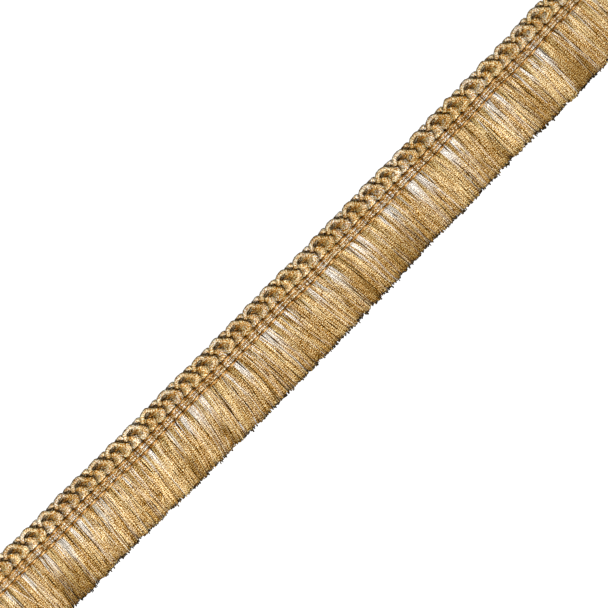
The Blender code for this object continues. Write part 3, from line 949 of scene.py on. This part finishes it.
# The bindings: yarns that run along the trim over its stitches. The twisted ones turn once in a stitch
binding = {
    "strandThick": 0.43,
    "twistWide": 0.23,
    # across, and the height at the dips between stitches and over the stitches.
    # The lights are places along a scallop, how wide and how strong, and shadows below 0
    "upper": {"across": -7.92, "low": 1.85, "high": 2.4, "lights": ((8.3, 1.6, -0.28), (3.4, 0.8, -0.1))},
    "lower": {"across": -10.72, "low": 1.95, "high": 2.42, "lights": ((7.1, 0.6, 0.28),)},
    "loop": {"across": -3.25, "low": 1.7, "high": 1.95, "lights": ()},
    "middle": {"across": -9.15, "low": 1.85, "high": 2.4, "thick": 0.4},
    "tones": (0.1, 0.85, 0.4),  # of the three strands: brown, light gold and orange
    # the painted light and shade along a stitch, from one dip to the next
    "seenAt": (0, 0.03, 0.34, 0.47, 0.6, 0.74, 0.96, 1),
    "stitchLight": (0.1, 0.22, 0.26, 0.95, 1.05, 0.42, 0.26, 0.1),
    "lightAt": 0.58,
    "seed": 41,
}


def followStitches(row, each, power):  # along, stitches past the first dip, how far it rises, and height
    along = np.linspace(0.1, trimLength - 0.1, stitchCount * each + 1)
    part = along / stitchPitch - 0.5
    rise = np.abs(np.sin(np.pi * part)) ** power
    return along, part, rise, row["low"] + (row["high"] - row["low"]) * rise


def makeTwist(name, row, node, rand):
    along, part, _, height = followStitches(row, 12, 0.55)
    across = row["across"] + 0.05 * np.sin(along / 2.9 + row["across"])
    strands = len(binding["tones"])
    strand = np.arange(strands)[:, None]
    turn = 2 * np.pi * (strand - 1) / strands + np.pi / 2
    slack = 0.2 * np.sin(along / 7.3 + rand.uniform(0, 6.3))
    slack = slack + 0.15 * np.sin(along / 3.1 + rand.uniform(0, 6.3))
    angle = turn - 2 * np.pi * (part - binding["lightAt"]) + slack
    paths = np.repeat(np.stack([along, across, height], -1)[None], strands, 0)
    paths[:, :, 1] += binding["twistWide"] * np.cos(angle)
    paths[:, :, 2] += binding["twistWide"] * 0.8 * np.sin(angle)
    tone = np.array(binding["tones"])[:, None] + 0.1 * np.sin(along / 4.7 + 3 * strand)
    place = part % 1
    # most of each strand's tone is the stitch's painted light and shade
    tone = 0.12 * tone + 0.88 * np.interp(place, binding["seenAt"], binding["stitchLight"])
    # painted shade at the dips between stitches and on each strand's underside, and the rows' painted
    # lights
    light = 0.26 + 0.74 * easeStep(0.04, 0.42, np.abs(np.sin(np.pi * part)))
    light = light * (1 - 0.14 * (place < 0.34))
    for at, reach, power in row["lights"]:
        light = light * (1 + power * bell(fromNearest(along, at), reach))
    shade = (0.45 + 0.55 * easeStep(-0.5, 0.7, np.sin(angle))) * light
    start = rand.uniform(0, 40, (strands, 1))
    yarns = spinYarns(paths, binding["strandThick"], 5, tone, 0.0, shade, start=start)
    makePiece(name, [yarns], bindingThread, "binding_yarn", node)


def makeMiddle(row):
    along, part, rise, height = followStitches(row, 8, 0.6)
    across = row["across"] + 0.05 * np.sin(along / 1.9) + 0.08 * np.cos(2 * np.pi * part)
    paths = np.stack([along, across, height], -1)[None]
    tone = 0.45 + 0.12 * np.sin(2 * np.pi * part)
    # painted shade at the dips between stitches
    yarns = spinYarns(paths, row["thick"], 5, tone[None], 0.0, (0.5 + 0.5 * rise)[None])
    makePiece("middleBinding", [yarns], bindingThread, "binding_yarn", "woven_band")


spinner = np.random.RandomState(binding["seed"])
makeTwist("upperBinding", binding["upper"], "binding_chain", spinner)
makeTwist("lowerBinding", binding["lower"], "skirt", spinner)
makeTwist("loopBinding", binding["loop"], "woven_band", spinner)
makeMiddle(binding["middle"])
print("bindings made")

# The floor, the lights and the camera
studio = {
    "floorSize": 3.0,
    "floorColour": (0.1, 0.1, 0.1, 1),
    "floorGlow": (0.1, 0.92),  # what lights the trim, and what the camera sees as well
    "sky": 0.38,
    "keyPower": 21.0,
    "keySize": 0.45,
    "keyPlace": (-0.4, -0.5, 0.95),
}
bpy.ops.mesh.primitive_plane_add(size=studio["floorSize"], location=(0, 0, 0))
floor = bpy.context.object
floor.name = "floor"
floorPaint = bpy.data.materials.new("paleFloor")
floorPaint.use_nodes = True
floorTree = floorPaint.node_tree
floorShader = floorTree.nodes["Principled BSDF"]
setInputs(floorShader, {"Base Color": studio["floorColour"], "Emission Color": (1, 1, 1, 1)})
setInputs(floorShader, {"Roughness": 0.9, "Specular IOR Level": 0.0})
rays = floorTree.nodes.new("ShaderNodeLightPath")
glow = addMath(floorTree, "MULTIPLY", rays.outputs["Is Camera Ray"], studio["floorGlow"][1])
glow = addMath(floorTree, "ADD", glow, studio["floorGlow"][0])
floorTree.links.new(glow, floorShader.inputs["Emission Strength"])
floor.data.materials.append(floorPaint)

world = bpy.data.worlds.new("studioSky")
bpy.context.scene.world = world
world.use_nodes = True
setInputs(world.node_tree.nodes["Background"], {"Color": (1, 1, 1, 1), "Strength": studio["sky"]})

bpy.ops.object.light_add(type="AREA", location=studio["keyPlace"])
key = bpy.context.object
key.name = "softKey"
key.data.shape = "DISK"
key.data.size = studio["keySize"]
key.data.energy = studio["keyPower"]
key.rotation_euler = (-key.location).to_track_quat("-Z", "Y").to_euler()

camera = {
    "lens": 100.0,
    "pixels": 608,
    "mmToPixel": 0.3521,
    "turn": -45.7,
    "aim": (trimLength / 2 - 0.6, -14.1, 2.0),
}
aim = layOnTrim([camera["aim"]])[0]
frameWide = camera["pixels"] * camera["mmToPixel"] / 1000
bpy.ops.object.camera_add(
    location=(aim[0], aim[1], aim[2] + frameWide * camera["lens"] / 36),
    rotation=(0, 0, math.radians(camera["turn"])),
)
shot = bpy.context.object
shot.name = "overheadCamera"
shot.data.lens = camera["lens"]
shot.data.sensor_width = 36
bpy.context.scene.camera = shot
bpy.context.scene.view_settings.view_transform = "Standard"
print("studio made")
